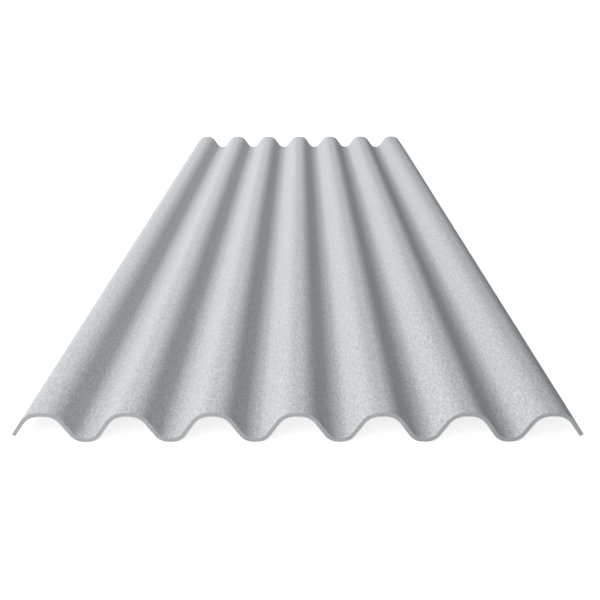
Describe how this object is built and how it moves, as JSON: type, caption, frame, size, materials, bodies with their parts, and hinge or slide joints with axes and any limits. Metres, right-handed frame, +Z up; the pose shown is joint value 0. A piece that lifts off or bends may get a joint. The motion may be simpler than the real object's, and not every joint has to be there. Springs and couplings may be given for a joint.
{
  "type": "corrugated fibre cement sheet",
  "caption": "Corrugated fibre cement roofing and cladding sheet in plain grey, with rounded waves running its whole length, square-cut ends and both long edges turned down.",
  "frame": {"origin": "on the floor under the middle of the sheet's length and width, level with the undersides of the valleys", "axes": "+Y along the waves, from the end that faces the picture's camera to the far end; +X across the waves, to the right as the camera sees it; +Z up, out of the weather face"},
  "size_m": [0.984, 3, 0.0553],
  "materials": {
    "fibre_cement": "matte, fine-grained cool grey cement"
  },
  "bodies": {
    "root": {"corrugated_sheet": "fibre_cement"}
  },
  "joints": []
}
